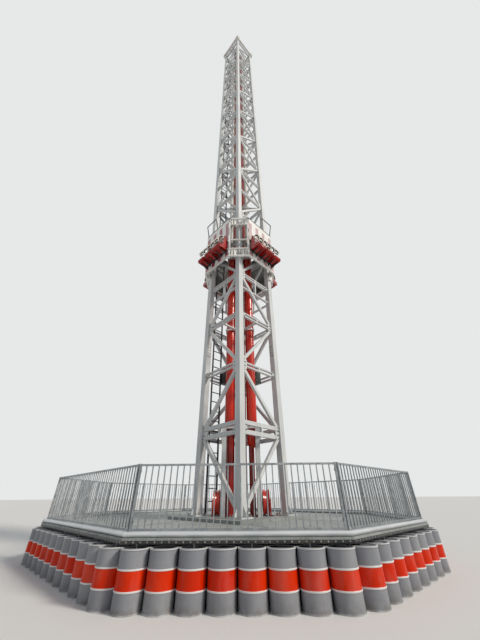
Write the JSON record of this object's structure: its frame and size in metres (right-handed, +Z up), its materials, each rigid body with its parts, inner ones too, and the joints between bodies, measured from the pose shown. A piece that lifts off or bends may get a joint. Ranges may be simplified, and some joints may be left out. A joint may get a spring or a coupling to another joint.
{
  "type": "drop tower ride",
  "caption": "Square lattice drop tower with a ring of outward-facing seats that slides up its legs, on a fenced octagonal deck ringed by banded steel drums.",
  "frame": {"origin": "on the ground on the tower's axis, under the middle beam of the base", "axes": "+Z up along the tower; +X and +Y square to the tower's faces, so that a corner leg faces the (-X, -Y) direction from which the picture was taken"},
  "size_m": [8.1318, 9.3218, 39.5],
  "materials": {
    "galvanised_steel": "dull zinc spangle",
    "dark_board": "matt black",
    "deck_steel": "light grey anti-slip paint",
    "drum_paint": "semi-gloss grey with a red band",
    "tower_paint": "light grey gloss",
    "head_paint": "red and pale grey gloss",
    "dark_iron": "greased",
    "red_paint": "orange-red gloss",
    "dark_steel": "satin black",
    "cabinet_paint": "satin",
    "carriage_paint": "white gloss",
    "roller_plastic": "polyurethane tread",
    "panel_paint": "white with red stripes",
    "seat_shell": "red moulded shell",
    "harness_foam": "black skinned foam"
  },
  "bodies": {
    "base": {"ground_frame": "galvanised_steel", "skirt": "dark_board", "deck_plate": "deck_steel", "deck_edge": "galvanised_steel", "tower_plinth": "deck_steel", "fence_1": "galvanised_steel", "fence_2": "galvanised_steel", "fence_3": "galvanised_steel", "fence_4": "galvanised_steel", "fence_5": "galvanised_steel", "fence_6": "galvanised_steel", "fence_7": "galvanised_steel", "fence_8": "galvanised_steel", "drums_1": "drum_paint", "drums_2": "drum_paint", "drums_3": "drum_paint", "drums_4": "drum_paint", "tower_legs": "tower_paint", "bracing_1": "tower_paint", "bracing_2": "tower_paint", "bracing_3": "tower_paint", "bracing_4": "tower_paint", "head_frame": "head_paint", "head_beams": "tower_paint", "head_sheaves": "dark_iron", "lift_cylinders": "red_paint", "centre_pipe": "red_paint", "lift_pipes": "red_paint", "guide_pipes": "tower_paint", "pipe_diaphragms": "dark_steel", "cylinder_stand": "tower_paint", "base_sheaves": "red_paint", "cabinets": "cabinet_paint", "ladder": "dark_steel"},
    "carriage": {"carriage_top_ring": "carriage_paint", "carriage_bottom_ring": "carriage_paint", "corner_frames": "carriage_paint", "hand_rails": "carriage_paint", "guide_rollers": "roller_plastic", "back_panels": "panel_paint", "seat_beams": "carriage_paint", "seats_1": "seat_shell", "seats_2": "seat_shell", "seats_3": "seat_shell", "seats_4": "seat_shell"},
    "harness_1_1": {"harness_1_1": "harness_foam"},
    "harness_1_2": {"harness_1_2": "harness_foam"},
    "harness_1_3": {"harness_1_3": "harness_foam"},
    "harness_2_1": {"harness_2_1": "harness_foam"},
    "harness_2_2": {"harness_2_2": "harness_foam"},
    "harness_2_3": {"harness_2_3": "harness_foam"},
    "harness_3_1": {"harness_3_1": "harness_foam"},
    "harness_3_2": {"harness_3_2": "harness_foam"},
    "harness_3_3": {"harness_3_3": "harness_foam"},
    "harness_4_1": {"harness_4_1": "harness_foam"},
    "harness_4_2": {"harness_4_2": "harness_foam"},
    "harness_4_3": {"harness_4_3": "harness_foam"}
  },
  "joints": [
    {"name": "carriage_slide", "type": "slide", "parent": "base", "child": "carriage", "axis": [0, 0, 1], "range_m": [-7.6, 27]},
    {"name": "harness_1_1_hinge", "type": "hinge", "parent": "carriage", "child": "harness_1_1", "pos_m": [-0.46, -1.41, 9.81], "axis": [-1, 0, 0], "range_deg": [0, 80]},
    {"name": "harness_1_2_hinge", "type": "hinge", "parent": "carriage", "child": "harness_1_2", "pos_m": [0, -1.41, 9.81], "axis": [-1, 0, 0], "range_deg": [0, 80]},
    {"name": "harness_1_3_hinge", "type": "hinge", "parent": "carriage", "child": "harness_1_3", "pos_m": [0.46, -1.41, 9.81], "axis": [-1, 0, 0], "range_deg": [0, 80]},
    {"name": "harness_2_1_hinge", "type": "hinge", "parent": "carriage", "child": "harness_2_1", "pos_m": [1.41, -0.46, 9.81], "axis": [0, -1, 0], "range_deg": [0, 80]},
    {"name": "harness_2_2_hinge", "type": "hinge", "parent": "carriage", "child": "harness_2_2", "pos_m": [1.41, 0, 9.81], "axis": [0, -1, 0], "range_deg": [0, 80]},
    {"name": "harness_2_3_hinge", "type": "hinge", "parent": "carriage", "child": "harness_2_3", "pos_m": [1.41, 0.46, 9.81], "axis": [0, -1, 0], "range_deg": [0, 80]},
    {"name": "harness_3_1_hinge", "type": "hinge", "parent": "carriage", "child": "harness_3_1", "pos_m": [0.46, 1.41, 9.81], "axis": [1, 0, 0], "range_deg": [0, 80]},
    {"name": "harness_3_2_hinge", "type": "hinge", "parent": "carriage", "child": "harness_3_2", "pos_m": [0, 1.41, 9.81], "axis": [1, 0, 0], "range_deg": [0, 80]},
    {"name": "harness_3_3_hinge", "type": "hinge", "parent": "carriage", "child": "harness_3_3", "pos_m": [-0.46, 1.41, 9.81], "axis": [1, 0, 0], "range_deg": [0, 80]},
    {"name": "harness_4_1_hinge", "type": "hinge", "parent": "carriage", "child": "harness_4_1", "pos_m": [-1.41, 0.46, 9.81], "axis": [0, 1, 0], "range_deg": [0, 80]},
    {"name": "harness_4_2_hinge", "type": "hinge", "parent": "carriage", "child": "harness_4_2", "pos_m": [-1.41, 0, 9.81], "axis": [0, 1, 0], "range_deg": [0, 80]},
    {"name": "harness_4_3_hinge", "type": "hinge", "parent": "carriage", "child": "harness_4_3", "pos_m": [-1.41, -0.46, 9.81], "axis": [0, 1, 0], "range_deg": [0, 80]}
  ]
}
